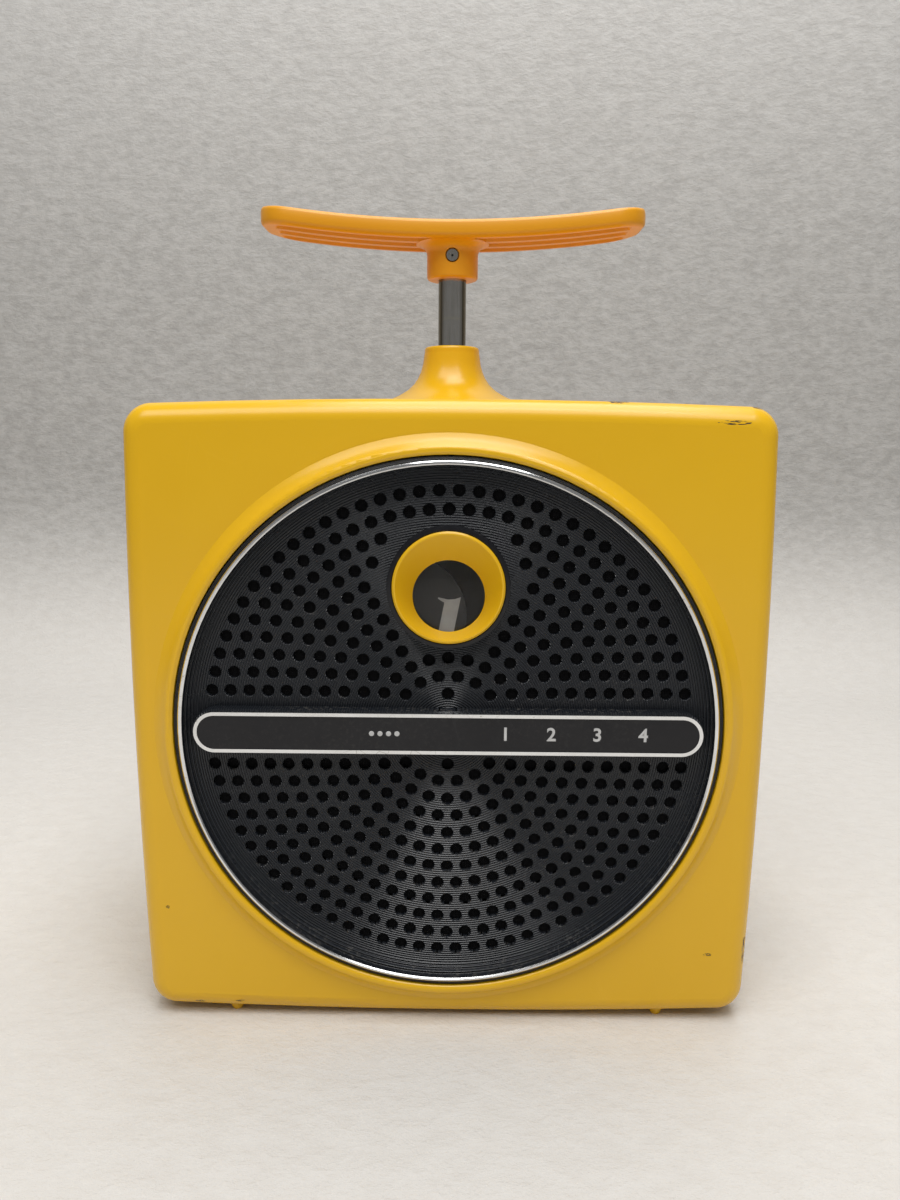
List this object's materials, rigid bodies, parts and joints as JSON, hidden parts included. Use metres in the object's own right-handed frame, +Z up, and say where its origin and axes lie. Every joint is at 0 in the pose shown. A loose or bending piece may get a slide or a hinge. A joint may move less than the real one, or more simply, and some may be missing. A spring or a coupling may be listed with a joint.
{
  "type": "cartridge tape player",
  "caption": "Portable square cartridge tape player in yellow plastic with a round speaker grille, a programme window and a push-down T-handle on top.",
  "frame": {"origin": "on the resting plane, under the plunger, at the middle of the object's box", "axes": "+Z up along the plunger, front with the grille towards -Y, +X to the right seen from the front"},
  "size_m": [0.19, 0.118, 0.254],
  "materials": {
    "aluminium": "plain",
    "bar_black": "gloss black",
    "black_plastic": "fine grain",
    "board_brown": "phenolic board",
    "brass": "plain",
    "bush_nylon": "natural nylon",
    "capacitor_blue": "sleeved",
    "case_yellow": "gloss moulded plastic",
    "chrome_trim": "bright",
    "cloth_black": "woven",
    "disc_black": "matt",
    "grille_black": "satin black plastic with fine turned lines",
    "handle_orange": "satin moulded plastic",
    "lens_clear": "clear",
    "magnet_dark": "dull",
    "paper_cone": "pressed paper",
    "polished_steel": "polished",
    "rubber_belt": "matt",
    "steel": "zinc plated sheet"
  },
  "bodies": {
    "case": {"front_housing": "case_yellow", "rear_housing": "case_yellow", "case_screws": "steel", "speaker_grille": "grille_black", "name_bar": "bar_black", "name_bar_trim": "chrome_trim", "grille_trim_ring": "chrome_trim", "grille_cloth": "cloth_black", "indicator_bezel": "case_yellow", "indicator_lens": "lens_clear", "speaker_frame": "steel", "speaker_magnet": "magnet_dark", "speaker_screws": "steel", "plunger_bush": "bush_nylon", "plunger_guide": "steel", "plunger_spring": "steel", "carriage_rods": "steel", "deck_chassis": "steel", "deck_screws": "steel", "cartridge_guide": "black_plastic", "capstan_bearing": "brass", "motor": "steel", "motor_bracket": "steel", "drive_belt": "rubber_belt", "slot_bezel": "black_plastic", "door_pin": "steel", "volume_pot": "steel", "tone_pot": "steel", "earphone_jack": "black_plastic", "dc_jack": "black_plastic", "circuit_board": "board_brown", "board_capacitors": "capacitor_blue", "heat_sink": "aluminium", "battery_box": "black_plastic", "battery_contacts": "steel", "battery_springs": "steel"},
    "cover": {"battery_cover": "case_yellow"},
    "plunger": {"plunger_handle": "handle_orange", "plunger_tube": "polished_steel", "handle_screw": "polished_steel", "plunger_stop": "steel", "plunger_foot": "bush_nylon", "pawl_pin": "steel"},
    "pawl_lever": {"pawl": "steel"},
    "index": {"index_shaft": "steel", "pin_wheel": "brass", "program_cam": "bush_nylon", "number_disc": "disc_black"},
    "head": {"head_carriage": "steel", "playback_head": "polished_steel"},
    "flywheel_set": {"flywheel": "brass", "capstan": "polished_steel"},
    "pulley": {"motor_pulley": "brass"},
    "door": {"slot_door": "black_plastic"},
    "volume": {"volume_knob": "black_plastic", "volume_spindle": "steel"},
    "tone": {"tone_knob": "black_plastic", "tone_spindle": "steel"},
    "cone": {"speaker_cone": "paper_cone"}
  },
  "joints": [
    {"name": "plunger_slide", "type": "slide", "parent": "case", "child": "plunger", "axis": [0, 0, -1], "range_m": [0, 0.012], "stiffness_N_per_m": 400, "springref_m": -0.012, "deforming": ["plunger_spring"]},
    {"name": "index_turn", "type": "hinge", "parent": "case", "child": "index", "pos_m": [-0.014, 0, 0.127], "axis": [0, 1, 0], "range_deg": [0, 90]},
    {"name": "head_shift", "type": "slide", "parent": "case", "child": "head", "axis": [0, 1, 0], "range_m": [0, 0.0008]},
    {"name": "pawl_swing", "type": "hinge", "parent": "plunger", "child": "pawl_lever", "pos_m": [-0.0015, 0, 0.145], "axis": [0, -1, 0], "range_deg": [0, 20], "stiffness_Nm_per_rad": 0.004, "springref_deg": -17.19},
    {"name": "slot_door_hinge", "type": "hinge", "parent": "case", "child": "door", "pos_m": [0.0907, -0.01055, 0.072], "axis": [0, 0, 1], "range_deg": [0, 88], "stiffness_Nm_per_rad": 0.01, "springref_deg": -17.19},
    {"name": "flywheel_spin", "type": "hinge", "parent": "case", "child": "flywheel_set", "pos_m": [0.016, 0, 0.038], "axis": [0, 1, 0], "continuous": true},
    {"name": "motor_spin", "type": "hinge", "parent": "case", "child": "pulley", "pos_m": [0.066, 0, 0.1], "axis": [0, 1, 0], "continuous": true},
    {"name": "volume_turn", "type": "hinge", "parent": "case", "child": "volume", "pos_m": [0.09, -0.026, 0.158], "axis": [1, 0, 0], "range_deg": [0, 300]},
    {"name": "tone_turn", "type": "hinge", "parent": "case", "child": "tone", "pos_m": [0.09, 0.002, 0.158], "axis": [1, 0, 0], "range_deg": [0, 300]},
    {"name": "cover_off", "type": "slide", "parent": "case", "child": "cover", "axis": [0, 1, 0], "range_m": [0, 0.04]},
    {"name": "cone_travel", "type": "slide", "parent": "case", "child": "cone", "axis": [0, 1, 0], "range_m": [-0.0015, 0.0015], "stiffness_N_per_m": 800}
  ],
  "couplings": [
    {"joint": "index_turn", "follows": "plunger_slide", "rad_per_m": 130.9},
    {"joint": "head_shift", "follows": "plunger_slide", "ratio": 0.066667},
    {"joint": "motor_spin", "follows": "flywheel_spin", "ratio": 3.8333}
  ]
}
